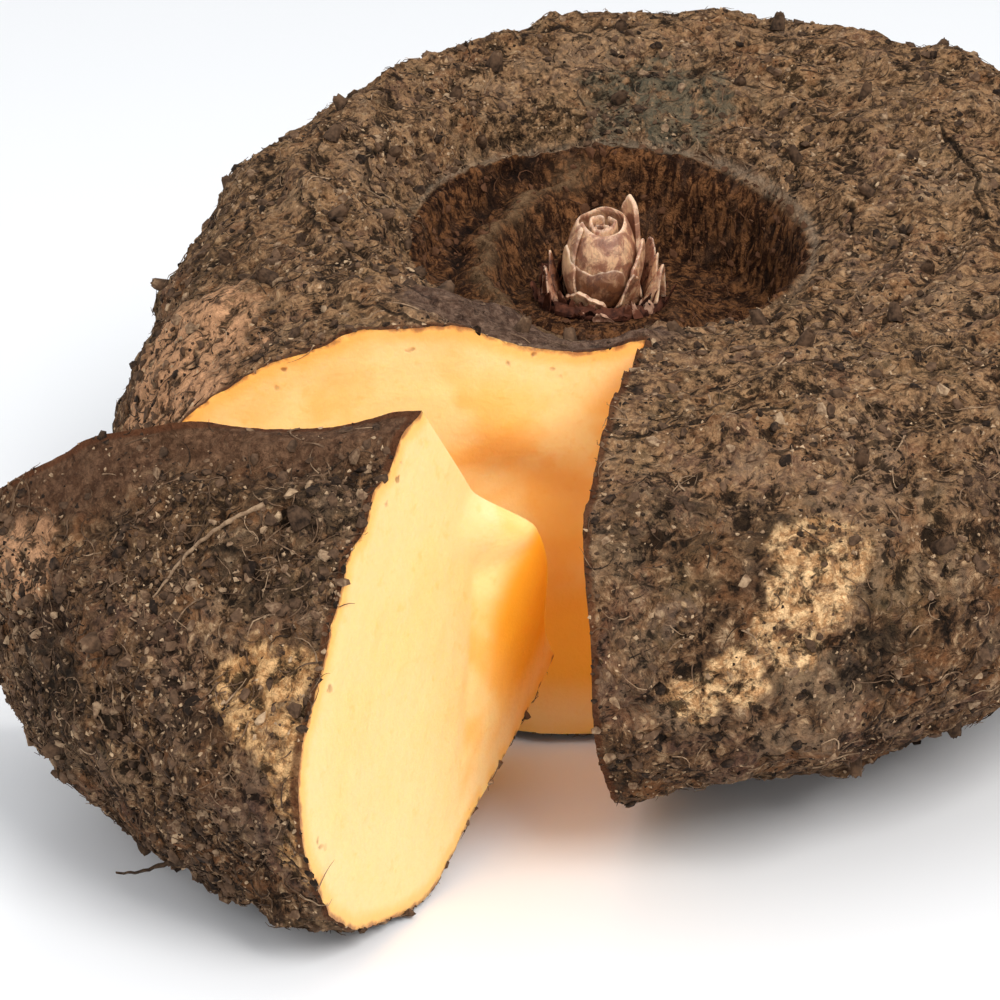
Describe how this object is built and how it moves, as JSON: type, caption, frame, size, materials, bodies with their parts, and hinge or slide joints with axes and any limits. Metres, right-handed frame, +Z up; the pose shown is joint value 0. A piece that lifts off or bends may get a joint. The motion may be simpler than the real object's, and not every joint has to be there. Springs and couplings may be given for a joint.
{
  "type": "elephant foot yam",
  "caption": "Flattened rough-skinned yam corm with a shoot in its crown basin and a chunk cut out of its side that lies drawn out of the notch, resting on a small flat spot.",
  "frame": {"origin": "middle of the flat spot that the corm rests on", "axes": "+Z up, -Y towards the side with the cut, +X to the right of the notch"},
  "size_m": [0.2268, 0.2577, 0.0951],
  "materials": {
    "skin": "dull, rough, fibrous grey-brown bark-like skin over orange-yellow flesh on the cut walls",
    "cut_skin": "the same rough skin on the chunk, with moist orange-yellow flesh on its two cut faces",
    "flesh": "moist, slightly grainy orange-yellow cut flesh",
    "shoot": "smooth pinkish cream shoot with pale scale edges",
    "dry_scale": "papery dark red-brown torn scales"
  },
  "bodies": {
    "root": {"corm": "skin", "chunk": "cut_skin", "bud": "shoot", "collar": "dry_scale"}
  },
  "joints": []
}
